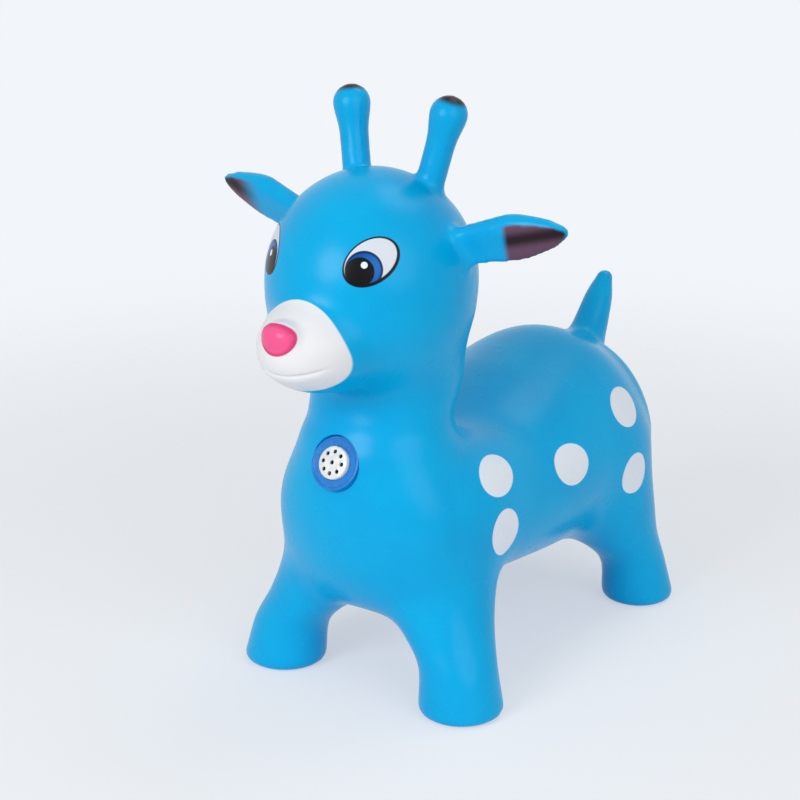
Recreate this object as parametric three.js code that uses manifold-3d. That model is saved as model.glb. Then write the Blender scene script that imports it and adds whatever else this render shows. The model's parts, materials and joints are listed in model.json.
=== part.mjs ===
// Inflatable hopper animal: a hollow one-piece vinyl skin with a belly air plug
// and a press-button sound module in its chest.
// Millimetres, +Z up, the animal faces -Y and its left side is +X.
import * as THREE from "three";
import { mergeVertices } from "three/addons/utils/BufferGeometryUtils.js";
import Module from "manifold-3d";

const wasm = await Module();
wasm.setup();

// Skin
const skinWall = 2;
const fitGap = 0.3;
const seamTolerance = 0.03;

// Torso, from chest to rump
const bodyLength = 345;
const chestY = -142.6;
const rumpY = chestY + bodyLength;
const seatHeight = 275;
const torsoHalfHeight = 102;
const torsoMid = seatHeight - torsoHalfHeight;
const chestHalfWidth = 92;
const bellyHalfWidth = 114;
const rumpHalfWidth = 110;
const chestDome = 62;
const rumpDome = 46;

// Legs
const footSpread = 102;
const soleRounding = 7;
const ankleHeight = 43;
const kneeHeight = 73;
const thighHeight = 112;
const frontLeg = { footY: chestY - 2, footRadius: 39, hipY: chestY + 35, hipSpread: 41, hipRadius: 58 };
const rearLeg = { footY: rumpY - 19, footRadius: 36, hipY: rumpY - 53, hipSpread: 51, hipRadius: 63 };

// Neck and head
const neckY = chestY + 22;
const neckHalfWidth = 73;
const neckHalfDepth = 66;
const neckHeight = 302;
const headY = chestY + 2;
const headHeight = 394;
const headHalfWidth = 93.5;
const headHalfDepth = 98.5;
const headHalfHeight = 99;

// Muzzle and nose
const muzzleReach = 51;
const muzzleDrop = 41;
const muzzleHalfWidth = 56;
const muzzleHalfDepth = 90;
const muzzleHalfHeight = 47;
const noseHalfWidth = 20;
const noseHalfHeight = 14;
const noseRise = 17;

// Horns
const hornSpread = 39;
const hornBack = 32;
const hornLength = 65;
const hornStemRadius = 13;
const hornKnobRadius = 17;
const hornSwell = 30;
const hornLeanOut = 12;
const hornLeanBack = 9;

// Ears
const earSpan = 376;
const earRootSpread = 78;
const earRootRise = 37;
const earRootBack = 12;
const earHalfWidth = 21;
const earHalfThickness = 13;
const earRaise = 13;
const earSweep = 6;
const earFrontFlat = 4;
const earFrontDip = 14;
const earReachOut = Math.cos(THREE.MathUtils.degToRad(earRaise));
const earSide = earReachOut * Math.cos(THREE.MathUtils.degToRad(earSweep));
const earLength = (earSpan / 2 - earRootSpread) / earSide;

// Tail
const tailY = rumpY + 31;
const tailRise = 62;
const tailLength = 89;
const tailRadius = 20;
const tailLean = 31;

// Air valve under the belly
const plugY = chestY + 160;
const plugRadius = 5;
const plugTaper = 0.4;
const plugLength = 20;
const plugHeadRadius = 9;
const plugHeadThickness = 2.4;
const valveBossRadius = plugHeadRadius + 1.5;
const valveBossDepth = 16;

// Sound module, measured along its own axis from the chest surface
const moduleHeight = 235;
const moduleTilt = 26;
const shelfDepth = 5;
const bezelRadius = 25;
const bezelProud = 2;
const flangeRadius = 22.6;
const flangeThickness = 2;
const caseRadius = 18.2;
const caseWall = 1.5;
const caseDepth = 28;
const buttonRadius = 15.2;
const buttonWall = 1.4;
const buttonProud = 6.2;
const buttonLip = 1.2;
const buttonStroke = 2;
const grilleHoleRadius = 2;
const grilleRing = 10;
const boardDepth = 15;
const boardThickness = 1.2;
const bulkheadThickness = 1.5;
const speakerRadius = 10;
const speakerHeight = 8.6;
const magnetRadius = 5.5;
const magnetHeight = 4;
const springRadius = 10.9;
const springWire = 0.8;
const springTurns = 5;
const switchReach = 14;
const switchWidth = 4;
const switchHeight = 3.8;
const plungerRadius = 1;
const cellRadius = 5.8;
const cellHeight = 5.4;
const cellRing = 7.4;
const contactThickness = 0.5;
const doorThickness = 1.8;
const doorScrewReach = 14.1;
const doorBossRadius = 2.3;
const bezelScrewReach = 20.4;
const screwRadius = 0.8;
const screwHeadRadius = 1.8;
const screwHeadHeight = 1.1;
const pocketFloor = 2.5;

const axisX = new THREE.Vector3(1, 0, 0);
const axisY = new THREE.Vector3(0, 1, 0);
const axisZ = new THREE.Vector3(0, 0, 1);

function point(x, y, z) {
  return new THREE.Vector3(x, y, z);
}

function radians(degrees) {
  return THREE.MathUtils.degToRad(degrees);
}

// Closed solid from a three.js geometry
function solid(geometry) {
  const plain = geometry.clone();
  plain.deleteAttribute("normal");
  plain.deleteAttribute("uv");
  const merged = mergeVertices(plain, 1e-4);
  const mesh = new wasm.Mesh({
    numProp: 3,
    vertProperties: new Float32Array(merged.attributes.position.array),
    triVerts: new Uint32Array(merged.index.array),
  });
  return new wasm.Manifold(mesh);
}

function unite(solids) {
  return solids.reduce((sum, next) => sum.add(next));
}

// Drawn surface of a solid
function surface(body) {
  const mesh = body.getMesh();
  const geometry = new THREE.BufferGeometry();
  geometry.setAttribute("position", new THREE.BufferAttribute(mesh.vertProperties, 3));
  geometry.setIndex(new THREE.BufferAttribute(mesh.triVerts, 1));
  geometry.computeVertexNormals();
  return geometry;
}

// Tube of elliptical rings with closed ends, the rings listed from start to end
function skinOver(rings, sides) {
  const positions = [];
  const index = [];
  for (const ring of rings) {
    for (let side = 0; side < sides; side += 1) {
      const angle = (side / sides) * Math.PI * 2;
      const spot = ring.middle.clone();
      spot.addScaledVector(ring.across, Math.cos(angle));
      spot.addScaledVector(ring.along, Math.sin(angle));
      positions.push(spot.x, spot.y, spot.z);
    }
  }
  for (let level = 0; level + 1 < rings.length; level += 1) {
    for (let side = 0; side < sides; side += 1) {
      const next = (side + 1) % sides;
      const low = level * sides;
      const high = low + sides;
      index.push(low + side, low + next, high + next);
      index.push(low + side, high + next, high + side);
    }
  }
  const first = rings[0];
  const last = rings[rings.length - 1];
  const startPole = positions.length / 3;
  positions.push(...(first.pole ?? first.middle).toArray());
  const endPole = positions.length / 3;
  positions.push(...(last.pole ?? last.middle).toArray());
  const top = (rings.length - 1) * sides;
  for (let side = 0; side < sides; side += 1) {
    const next = (side + 1) % sides;
    index.push(startPole, next, side);
    index.push(endPole, top + side, top + next);
  }
  const geometry = new THREE.BufferGeometry();
  geometry.setAttribute("position", new THREE.Float32BufferAttribute(positions, 3));
  geometry.setIndex(index);
  return geometry;
}

// Rounded end of a limb: rings that close to a pole, or to a flat sole
function endRings(station, outward, end, steps) {
  const rings = [];
  for (let step = 1; step <= steps; step += 1) {
    const last = step === steps;
    if (last && !end.flat) {
      break;
    }
    const turn = (step / steps) * Math.PI / 2;
    const shrink = end.flat ? end.depth * (1 - Math.cos(turn)) : 0;
    const scale = end.flat ? 1 : Math.cos(turn);
    rings.push({
      middle: station.middle.clone().addScaledVector(outward, end.depth * Math.sin(turn)),
      half: [station.half[0] * scale - shrink, station.half[1] * scale - shrink],
    });
  }
  if (!end.flat) {
    rings[rings.length - 1].pole = station.middle.clone().addScaledVector(outward, end.depth);
  }
  return rings;
}

// Swelling limb through a few stations, pulled in by an inset for its inside
function limb(shape, inset) {
  const spots = shape.stations.map((s) => s.middle);
  const middles = new THREE.CatmullRomCurve3(spots, false, "catmullrom", 0.5);
  const sizes = shape.stations.map((s) => point(s.half[0] - inset, s.half[1] - inset, 0));
  const halves = new THREE.CatmullRomCurve3(sizes, false, "catmullrom", 0.5);
  const body = [];
  for (let step = 0; step <= shape.steps; step += 1) {
    const t = step / shape.steps;
    const size = halves.getPoint(t);
    body.push({ middle: middles.getPoint(t), half: [size.x, size.y] });
  }
  const startWay = shape.start.way ?? middles.getTangent(0).negate();
  const endWay = middles.getTangent(1);
  const start = { ...shape.start, depth: shape.start.depth - inset };
  const end = { ...shape.end, depth: shape.end.depth - inset };
  const before = endRings(body[0], startWay, start, 3).reverse();
  const after = endRings(body[body.length - 1], endWay, end, 3);
  const rings = [...before, ...body, ...after].map((ring) => ({
    middle: ring.middle,
    across: shape.axes[0].clone().multiplyScalar(ring.half[0]),
    along: shape.axes[1].clone().multiplyScalar(ring.half[1]),
    pole: ring.pole,
  }));
  return solid(skinOver(rings, shape.sides));
}

function ellipsoid(middle, halves, inset, sides) {
  const ball = new THREE.SphereGeometry(1, sides, Math.round(sides * 0.6));
  ball.rotateX(Math.PI / 2);
  ball.scale(halves[0] - inset, halves[1] - inset, halves[2] - inset);
  ball.translate(middle.x, middle.y, middle.z);
  return solid(ball);
}

// Turned form about +Z from an outline of radius and height
function turned(outline, sides) {
  const geometry = new THREE.LatheGeometry(outline, sides);
  geometry.rotateX(Math.PI / 2);
  return geometry;
}

function torsoShape() {
  const station = (share, drop, wide, high) => ({
    middle: point(0, chestY + bodyLength * share, torsoMid - drop),
    half: [wide, high],
  });
  return {
    axes: [axisX, axisZ.clone().negate()],
    sides: 24,
    steps: 6,
    stations: [
      station(0, 3, chestHalfWidth, torsoHalfHeight * 0.92),
      station(0.24, 13, bellyHalfWidth - 6, torsoHalfHeight - 20),
      station(0.61, 5.5, bellyHalfWidth + 2, torsoHalfHeight - 0.5),
      station(0.85, 0, rumpHalfWidth, torsoHalfHeight + 4),
      station(1, 1, rumpHalfWidth * 0.86, torsoHalfHeight * 0.89),
    ],
    start: { depth: chestDome },
    end: { depth: rumpDome },
  };
}

function legShape(side, leg) {
  const station = (z, rise, radius) => {
    const spread = THREE.MathUtils.lerp(footSpread, leg.hipSpread, rise);
    const y = THREE.MathUtils.lerp(leg.footY, leg.hipY, rise);
    return { middle: point(side * spread, y, z), half: [radius, radius] };
  };
  return {
    axes: [axisX, axisY],
    sides: 12,
    steps: 6,
    stations: [
      station(soleRounding, 0, leg.footRadius),
      station(ankleHeight, 0.11, leg.footRadius - 2.5),
      station(kneeHeight, 0.42, leg.footRadius + 4),
      station(thighHeight, 0.75, leg.hipRadius - 5),
      station(torsoMid, 1, leg.hipRadius),
    ],
    start: { depth: soleRounding, flat: true, way: axisZ.clone().negate() },
    end: { depth: leg.hipRadius * 0.6 },
  };
}

function neckShape() {
  const station = (y, z, wide, deep) => ({ middle: point(0, y, z), half: [wide, deep] });
  return {
    axes: [axisX, axisY],
    sides: 24,
    steps: 5,
    stations: [
      station(neckY + 13, torsoMid, chestHalfWidth - 2, neckHalfDepth + 22),
      station(neckY - 8, torsoMid + 64, neckHalfWidth + 3, neckHalfDepth + 4),
      station(neckY - 7, torsoMid + 94, neckHalfWidth - 4, neckHalfDepth - 5),
      station(neckY, neckHeight, neckHalfWidth, neckHalfDepth),
      station(headY, headHeight - 30, headHalfWidth - 10, headHalfDepth - 10),
    ],
    start: { depth: 40 },
    end: { depth: 50 },
  };
}

function tailShape() {
  const lean = radians(tailLean);
  const way = point(0, Math.sin(lean), Math.cos(lean));
  const flat = point(0, -Math.cos(lean), Math.sin(lean)).negate();
  const root = point(0, tailY, torsoMid + tailRise);
  const station = (reach, radius) => ({
    middle: root.clone().addScaledVector(way, reach),
    half: [radius, radius],
  });
  return {
    axes: [axisX, flat],
    sides: 10,
    steps: 4,
    stations: [
      station(0, tailRadius),
      station(tailLength * 0.35, tailRadius * 0.85),
      station(tailLength * 0.68, tailRadius * 0.6),
      station(tailLength - 6, 6.5),
    ],
    start: { depth: tailRadius * 0.8 },
    end: { depth: 6 },
  };
}

// Ear directions: along it, out of its front, and across it
function earFrame(side) {
  const raise = radians(earRaise);
  const sweep = radians(earSweep);
  const way = point(side * earSide, earReachOut * Math.sin(sweep), Math.sin(raise));
  const front = point(0, -1, 0).addScaledVector(way, way.y).normalize();
  const wide = new THREE.Vector3().crossVectors(way, front);
  const root = point(side * earRootSpread, headY + earRootBack, headHeight + earRootRise);
  return { root, way, front, wide };
}

function earShape(side) {
  const { root, way, front, wide } = earFrame(side);
  const station = (reach, width, thickness) => ({
    middle: root.clone().addScaledVector(way, reach),
    half: [thickness, width],
  });
  return {
    axes: [front, wide],
    sides: 12,
    steps: 5,
    stations: [
      station(0, earHalfWidth * 0.72, earHalfThickness),
      station(earLength * 0.35, earHalfWidth * 0.95, earHalfThickness),
      station(earLength * 0.58, earHalfWidth, earHalfThickness),
      station(earLength * 0.84, earHalfWidth * 0.6, earHalfThickness * 0.75),
      station(earLength - 5, 6.5, 5.5),
    ],
    start: { depth: 8 },
    end: { depth: 5 },
  };
}

// Ear with a flat front, which leaves a ridge along its top
function ear(side, inset) {
  const { root, way, front, wide } = earFrame(side);
  const dip = radians(earFrontDip);
  const normal = front.clone().multiplyScalar(Math.cos(dip)).addScaledVector(wide, side * Math.sin(dip));
  const across = new THREE.Vector3().crossVectors(normal, way);
  const reach = earFrontFlat - inset + earSpan / 2;
  const place = new THREE.Matrix4().makeBasis(way, across, normal);
  place.setPosition(root.clone().addScaledVector(normal, reach));
  const frontCut = new THREE.BoxGeometry(earSpan, earSpan, earSpan).applyMatrix4(place);
  return limb(earShape(side), inset).subtract(solid(frontCut));
}

// Horn that swells into a round end, standing on the crown of the head
function horn(side, inset) {
  const stem = hornStemRadius - inset;
  const knob = hornKnobRadius - inset;
  const swell = (share) => THREE.MathUtils.lerp(stem, knob, share);
  const outline = [
    [0, -30],
    [stem + 1.5, -30],
    [stem + 1, -6],
    [stem, 6],
    [stem, hornLength - hornSwell],
    [swell(0.23), hornLength - hornSwell * 0.6],
    [swell(0.68), hornLength - hornSwell * 0.3],
    [knob, hornLength],
  ];
  for (let turn = 22.5; turn < 90; turn += 22.5) {
    outline.push([knob * Math.cos(radians(turn)), hornLength + knob * Math.sin(radians(turn))]);
  }
  outline.push([0, hornLength + knob]);
  const points = outline.map((pair) => new THREE.Vector2(pair[0], pair[1]));
  const geometry = turned(points, 12);
  geometry.rotateX(-radians(hornLeanBack));
  geometry.rotateY(side * radians(hornLeanOut));
  const across = hornSpread / headHalfWidth;
  const back = hornBack / headHalfDepth;
  const height = headHeight + headHalfHeight * Math.sqrt(1 - across * across - back * back);
  geometry.translate(side * hornSpread, headY + hornBack, height - 2);
  return solid(geometry);
}

// Every swelling of the toy's skin, drawn at an inset from the outside
function bodyForm(inset) {
  const head = point(0, headY, headHeight);
  const muzzle = head.clone().add(point(0, -muzzleReach, -muzzleDrop));
  const nose = muzzle.clone().add(point(0, noseHalfHeight - muzzleHalfDepth - 2, noseRise));
  const forms = [
    limb(torsoShape(), inset),
    limb(neckShape(), inset),
    ellipsoid(head, [headHalfWidth, headHalfDepth, headHalfHeight], inset, 22),
    ellipsoid(muzzle, [muzzleHalfWidth, muzzleHalfDepth, muzzleHalfHeight], inset, 18),
    ellipsoid(nose, [noseHalfWidth, noseHalfHeight, noseHalfHeight], inset, 12),
    limb(tailShape(), inset),
  ];
  for (const side of [-1, 1]) {
    forms.push(limb(legShape(side, frontLeg), inset));
    forms.push(limb(legShape(side, rearLeg), inset));
    forms.push(ear(side, inset));
    forms.push(horn(side, inset));
  }
  return unite(forms).simplify(seamTolerance);
}

// Ring or cup turned about +Z, its outline a closed loop of radius and height pairs
function ringOf(pairs, sides) {
  const outline = pairs.map((pair) => new THREE.Vector2(pair[0], pair[1]));
  outline.push(outline[0].clone());
  return solid(turned(outline, sides));
}

// Solid turned about +Z, its outline running from the axis round to the axis
function turnedSolid(pairs, sides) {
  return solid(turned(pairs.map((pair) => new THREE.Vector2(pair[0], pair[1])), sides));
}

// Round rod standing on a spot, from its low to its high end
function rod(x, y, radius, low, high, sides) {
  const geometry = new THREE.CylinderGeometry(radius, radius, high - low, sides);
  geometry.rotateX(Math.PI / 2);
  geometry.translate(x, y, (low + high) / 2);
  return solid(geometry);
}

function block(x, y, z, long, wide, high) {
  const geometry = new THREE.BoxGeometry(long, wide, high);
  geometry.translate(x, y, z);
  return solid(geometry);
}

// Flat strip with round ends between two spots
function strip(from, to, width, low, thickness) {
  const shape = new THREE.Shape();
  const turn = Math.atan2(to.y - from.y, to.x - from.x);
  shape.absarc(to.x, to.y, width / 2, turn - Math.PI / 2, turn + Math.PI / 2, false);
  shape.absarc(from.x, from.y, width / 2, turn + Math.PI / 2, turn + Math.PI * 1.5, false);
  const settings = { depth: thickness, bevelEnabled: false, curveSegments: 8 };
  const geometry = new THREE.ExtrudeGeometry(shape, settings);
  geometry.translate(0, 0, low);
  return solid(geometry);
}

function spotAt(reach, degrees) {
  return new THREE.Vector2(reach * Math.cos(radians(degrees)), reach * Math.sin(radians(degrees)));
}

// Round wire along a curve
function wire(curve, radius, sides, steps) {
  const round = new THREE.Shape();
  round.absarc(0, 0, radius, 0, Math.PI * 2, false);
  const settings = { steps, extrudePath: curve, bevelEnabled: false, curveSegments: sides };
  return solid(new THREE.ExtrudeGeometry(round, settings));
}

class Coil extends THREE.Curve {
  constructor(radius, low, high, turns) {
    super();
    this.radius = radius;
    this.low = low;
    this.high = high;
    this.turns = turns;
  }

  getPoint(t) {
    const angle = t * this.turns * Math.PI * 2;
    const height = THREE.MathUtils.lerp(this.low, this.high, t);
    return point(this.radius * Math.cos(angle), this.radius * Math.sin(angle), height);
  }
}

// First point of the skin met by a straight sight line
function firstMeeting(form, from, way) {
  const target = new THREE.Mesh(surface(form), new THREE.MeshBasicMaterial({ side: THREE.DoubleSide }));
  const sight = new THREE.Raycaster(from, way);
  return sight.intersectObject(target)[0].point;
}

const outside = bodyForm(0);
const cavity = bodyForm(skinWall);

// Frames of the sound module and of the air plug: local +Z points out of the skin
const chestSpot = firstMeeting(outside, point(0, chestY - bodyLength, moduleHeight), axisY);
const bellySpot = firstMeeting(outside, point(0, plugY, -seatHeight), axisZ);
const tilt = radians(moduleTilt);
const moduleOut = point(0, -Math.cos(tilt), Math.sin(tilt));
const moduleUp = point(0, Math.sin(tilt), Math.cos(tilt));
const moduleFrame = new THREE.Matrix4().makeBasis(axisX, moduleUp, moduleOut).setPosition(chestSpot);
const plugOut = axisZ.clone().negate();
const plugUp = axisY.clone().negate();
const plugFrame = new THREE.Matrix4().makeBasis(axisX, plugUp, plugOut).setPosition(bellySpot);

function placed(body, frame) {
  return solid(surface(body).applyMatrix4(frame));
}

// Levels of the module, from the front inwards
const flangeBack = -shelfDepth + fitGap;
const flangeFront = flangeBack + flangeThickness;
const bezelBack = flangeFront + fitGap;
const lipFront = flangeFront;
const lipBack = lipFront - 1.5;
const caseInside = caseRadius - caseWall;
const boardFront = -boardDepth;
const boardBack = boardFront - boardThickness;
const bulkheadFront = boardBack - fitGap;
const bulkheadBack = bulkheadFront - bulkheadThickness;
const cellFront = bulkheadBack - contactThickness - 2 * fitGap;
const cellBack = cellFront - cellHeight;
const doorFront = cellBack - contactThickness - 2 * fitGap;
const doorBack = doorFront - doorThickness;
const caseBack = Math.min(-caseDepth, doorBack);
const doorScrewHead = doorBack - fitGap;
const pocketBack = Math.min(caseBack, doorScrewHead - screwHeadHeight) - 0.8;
const bezelHole = buttonRadius + fitGap;
const screwHole = screwRadius + fitGap;
const bezelScrewSpots = [30, 150, 270].map((turn) => spotAt(bezelScrewReach, turn));
const doorScrewSpots = [0, 180].map((turn) => spotAt(doorScrewReach, turn));
const cellSpots = [90, 210, 330].map((turn) => spotAt(cellRing, turn));

function skinSolid() {
  const pocketRadius = caseRadius + fitGap;
  const shelfRadius = bezelRadius + fitGap;
  const shelfBack = -shelfDepth - 4;
  const seat = unite([
    rod(0, 0, shelfRadius + skinWall, shelfBack, 20, 32),
    rod(0, 0, pocketRadius + skinWall, pocketBack - pocketFloor, 0, 32),
  ]);
  const recess = unite([
    rod(0, 0, shelfRadius, -shelfDepth, 30, 32),
    rod(0, 0, pocketRadius, pocketBack, 0, 32),
    ...bezelScrewSpots.map((spot) => rod(spot.x, spot.y, screwHeadRadius + fitGap, -shelfDepth - 1.8, 0, 10)),
  ]);
  const boss = rod(0, 0, valveBossRadius, -valveBossDepth, 8, 20);
  const bore = unite([
    rod(0, 0, plugRadius + fitGap, -valveBossDepth - 30, 30, 20),
    rod(0, 0, plugHeadRadius + fitGap, 0, 30, 20),
  ]);
  const thickened = outside.subtract(cavity)
    .add(placed(seat, moduleFrame).intersect(outside))
    .add(placed(boss, plugFrame).intersect(outside));
  const hollows = placed(recess, moduleFrame).add(placed(bore, plugFrame));
  return thickened.subtract(hollows).simplify(seamTolerance);
}

function bezelSolid() {
  const rim = bezelProud - 1.2;
  const ring = ringOf([
    [bezelHole, bezelBack],
    [flangeRadius + fitGap, bezelBack],
    [flangeRadius + fitGap, flangeBack],
    [bezelRadius, flangeBack],
    [bezelRadius, rim],
    [bezelRadius - 0.4, bezelProud - 0.4],
    [bezelRadius - 1.2, bezelProud],
    [bezelHole + 0.8, bezelProud],
    [bezelHole, bezelProud - 0.8],
  ], 32);
  const hole = (spot) => rod(spot.x, spot.y, screwHole, bezelBack - 3, bezelProud - 2, 8);
  const holes = bezelScrewSpots.map(hole);
  return ring.subtract(unite(holes));
}

function buttonSolid() {
  const inside = buttonRadius - buttonWall;
  const edge = buttonProud - 3;
  const dome = turnedSolid([
    [0, lipBack],
    [buttonRadius + buttonLip, lipBack],
    [buttonRadius + buttonLip, lipFront],
    [buttonRadius, lipFront],
    [buttonRadius, edge],
    [buttonRadius - 0.7, edge + 1.3],
    [buttonRadius - 2.4, edge + 2],
    [buttonRadius * 0.5, buttonProud - 0.25],
    [0, buttonProud],
  ], 32);
  const hollow = turnedSolid([
    [0, lipBack - 5],
    [inside, lipBack - 5],
    [inside, edge - 0.6],
    [inside - 1.2, edge + 0.5],
    [inside * 0.5, buttonProud - buttonWall - 0.25],
    [0, buttonProud - buttonWall],
  ], 32);
  const holes = [rod(0, 0, grilleHoleRadius, 0, 20, 12)];
  for (let turn = 0; turn < 360; turn += 45) {
    const spot = spotAt(grilleRing, turn);
    holes.push(rod(spot.x, spot.y, grilleHoleRadius, 0, 20, 12));
  }
  const fingerTip = boardFront + fitGap + switchHeight + buttonStroke + 0.6;
  const fingerHigh = lipFront - fingerTip;
  const finger = block(switchReach, 0, lipFront - fingerHigh / 2, 2.2, 3.6, fingerHigh);
  return dome.subtract(hollow).subtract(unite(holes)).add(finger);
}

function caseSolid() {
  const tube = ringOf([
    [caseInside, flangeFront],
    [caseInside, caseBack],
    [caseRadius, caseBack],
    [caseRadius, flangeBack],
    [flangeRadius, flangeBack],
    [flangeRadius, flangeFront],
  ], 32);
  const bulkhead = rod(0, 0, caseInside + 0.5, bulkheadBack, bulkheadFront, 32);
  const boss = (spot) => rod(spot.x, spot.y, doorBossRadius, doorFront + fitGap, bulkheadFront, 12);
  const doorHole = (spot) => rod(spot.x, spot.y, screwHole, doorFront - 2, bulkheadBack - 1, 8);
  const flangeHole = (spot) => rod(spot.x, spot.y, screwHole, flangeBack - 1, flangeFront + 1, 8);
  const bosses = doorScrewSpots.map(boss);
  const doorHoles = doorScrewSpots.map(doorHole);
  const flangeHoles = bezelScrewSpots.map(flangeHole);
  const window = rod(0, 0, 3.3, bulkheadBack - 1, bulkheadFront + 1, 16);
  return unite([tube, bulkhead, ...bosses]).subtract(unite([window, ...doorHoles, ...flangeHoles]));
}

function doorSolid() {
  const holes = doorScrewSpots.map((spot) => rod(spot.x, spot.y, screwHole, doorBack - 1, doorFront + 1, 8));
  return rod(0, 0, caseInside - fitGap, doorBack, doorFront, 32).subtract(unite(holes));
}

// Pan-head screw with its head at the low end and a straight driver slot
function screwSolid(spot, headTop, tip) {
  const head = rod(spot.x, spot.y, screwHeadRadius, headTop - screwHeadHeight, headTop, 12);
  const shank = rod(spot.x, spot.y, screwRadius, headTop, tip, 8);
  const slot = block(spot.x, spot.y, headTop - screwHeadHeight, screwHeadRadius * 1.4, 0.5, 0.9);
  return head.add(shank).subtract(slot);
}

function speakerFrameSolid() {
  const low = boardFront + fitGap + magnetHeight + fitGap;
  const high = boardFront + speakerHeight;
  return turnedSolid([
    [0, low],
    [magnetRadius - 0.1, low],
    [speakerRadius - 0.8, high - 0.8],
    [speakerRadius, high - 0.8],
    [speakerRadius, high],
    [speakerRadius - 1.4, high],
    [magnetRadius - 0.8, low + 0.8],
    [0, low + 0.8],
  ], 24);
}

function speakerConeSolid() {
  const rim = boardFront + speakerHeight + fitGap;
  const low = rim - 2;
  return turnedSolid([
    [0, low + 0.9],
    [2.2, low + 0.5],
    [3.2, low - 0.5],
    [speakerRadius - 1.6, rim],
    [speakerRadius - 0.2, rim],
    [speakerRadius - 0.2, rim + 0.5],
    [speakerRadius - 1.9, rim + 0.5],
    [3.4, low + 0.3],
    [2.3, low + 1.2],
    [0, low + 1.6],
  ], 24);
}

function speakerWireSolid(side) {
  const low = boardFront + fitGap;
  const high = boardFront + speakerHeight - 0.8 - fitGap;
  const reach = speakerRadius - 0.7;
  const curve = new THREE.CatmullRomCurve3([
    point(side * 2.2, reach, low),
    point(side * 2.1, reach - 0.6, (low + high) / 2),
    point(side * 2.2, reach - 0.2, high),
  ]);
  return wire(curve, 0.5, 3, 6);
}

function switchBodySolid() {
  const low = boardFront + fitGap;
  const body = block(switchReach, 0, low + switchHeight / 2, switchWidth, switchWidth, switchHeight);
  return body.subtract(rod(switchReach, 0, plungerRadius + fitGap, low + 0.8, low + switchHeight + 2, 12));
}

function plungerSolid() {
  const bodyTop = boardFront + fitGap + switchHeight;
  const high = bodyTop + buttonStroke + 0.3;
  return rod(switchReach, 0, plungerRadius, bodyTop - 0.8, high, 12);
}

function springSolid() {
  const low = boardFront + fitGap + springWire / 2;
  const high = buttonProud - buttonWall - 2.2;
  return wire(new Coil(springRadius, low, high, springTurns), springWire / 2, 3, springTurns * 10);
}

function chipSolid() {
  const low = boardFront + fitGap;
  const dome = turnedSolid([[0, low], [2.6, low], [2.2, low + 0.8], [1.2, low + 1.2], [0, low + 1.3]], 12);
  return dome.translate([0, -8.6, 0]);
}

const contactFront = cellFront + fitGap;
const contactBack = cellBack - fitGap - contactThickness;
const centre = new THREE.Vector2(0, 0);

function positiveTerminalSolid() {
  const lug = spotAt(2.2, 90);
  return strip(cellSpots[0], lug, 1.6, contactFront, contactThickness)
    .add(rod(lug.x, lug.y, 0.6, contactFront, boardBack - fitGap, 8));
}

function negativeTerminalSolid() {
  return strip(cellSpots[2], centre, 2.4, contactBack, contactThickness)
    .add(rod(0, 0, 0.9, contactBack, boardBack - fitGap, 8));
}

function plugSolid() {
  const root = plugRadius;
  const tip = plugRadius - plugTaper;
  const high = fitGap + plugHeadThickness;
  return turnedSolid([
    [0, -plugLength],
    [tip - 0.8, -plugLength],
    [tip, -plugLength + 1],
    [root, fitGap],
    [plugHeadRadius, fitGap],
    [plugHeadRadius, high - 0.8],
    [plugHeadRadius - 0.8, high],
    [3, high],
    [2.4, high - 0.8],
    [0, high - 0.8],
  ], 20);
}

const toy = new THREE.Group();

function piece(name, body, frame, colour, roughness, metalness) {
  const material = new THREE.MeshStandardMaterial({ color: colour, roughness, metalness });
  const mesh = new THREE.Mesh(surface(body).applyMatrix4(frame), material);
  mesh.name = name;
  toy.add(mesh);
}

const toyFrame = new THREE.Matrix4();
piece("skin", skinSolid(), toyFrame, 0x05a3e4, 0.4, 0);
piece("air_plug", plugSolid(), plugFrame, 0xf2f2f0, 0.5, 0);
piece("sound_bezel", bezelSolid(), moduleFrame, 0x1267bd, 0.35, 0);
piece("sound_button", buttonSolid(), moduleFrame, 0xf4f2ee, 0.35, 0);
piece("sound_case", caseSolid(), moduleFrame, 0xe8e8e6, 0.5, 0);
piece("battery_door", doorSolid(), moduleFrame, 0xe4e4e2, 0.5, 0);
const boardBody = rod(0, 0, caseInside - fitGap, boardBack, boardFront, 32);
piece("circuit_board", boardBody, moduleFrame, 0x1d7a44, 0.5, 0);
piece("sound_chip", chipSolid(), moduleFrame, 0x161616, 0.4, 0);
piece("switch_body", switchBodySolid(), moduleFrame, 0x222222, 0.5, 0);
piece("switch_plunger", plungerSolid(), moduleFrame, 0xb33a2e, 0.5, 0);
piece("return_spring", springSolid(), moduleFrame, 0xb8bcc2, 0.3, 1);
piece("speaker_frame", speakerFrameSolid(), moduleFrame, 0x8d9196, 0.4, 1);
piece("speaker_cone", speakerConeSolid(), moduleFrame, 0x1b1b1d, 0.8, 0);
const magnetLow = boardFront + fitGap;
const magnetBody = rod(0, 0, magnetRadius, magnetLow, magnetLow + magnetHeight, 20);
piece("speaker_magnet", magnetBody, moduleFrame, 0x4a4c50, 0.5, 1);
piece("speaker_wire_red", speakerWireSolid(-1), moduleFrame, 0xc02020, 0.5, 0);
piece("speaker_wire_black", speakerWireSolid(1), moduleFrame, 0x181818, 0.5, 0);
cellSpots.forEach((spot, order) => {
  const cell = rod(spot.x, spot.y, cellRadius, cellBack, cellFront, 20);
  piece(`battery_cell_${order + 1}`, cell, moduleFrame, 0xc9ccd0, 0.25, 1);
});
const frontLink = strip(cellSpots[1], cellSpots[2], 3.4, contactFront, contactThickness);
const rearLink = strip(cellSpots[0], cellSpots[1], 3.4, contactBack, contactThickness);
piece("battery_link_front", frontLink, moduleFrame, 0xc8b273, 0.3, 1);
piece("battery_link_rear", rearLink, moduleFrame, 0xc8b273, 0.3, 1);
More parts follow.
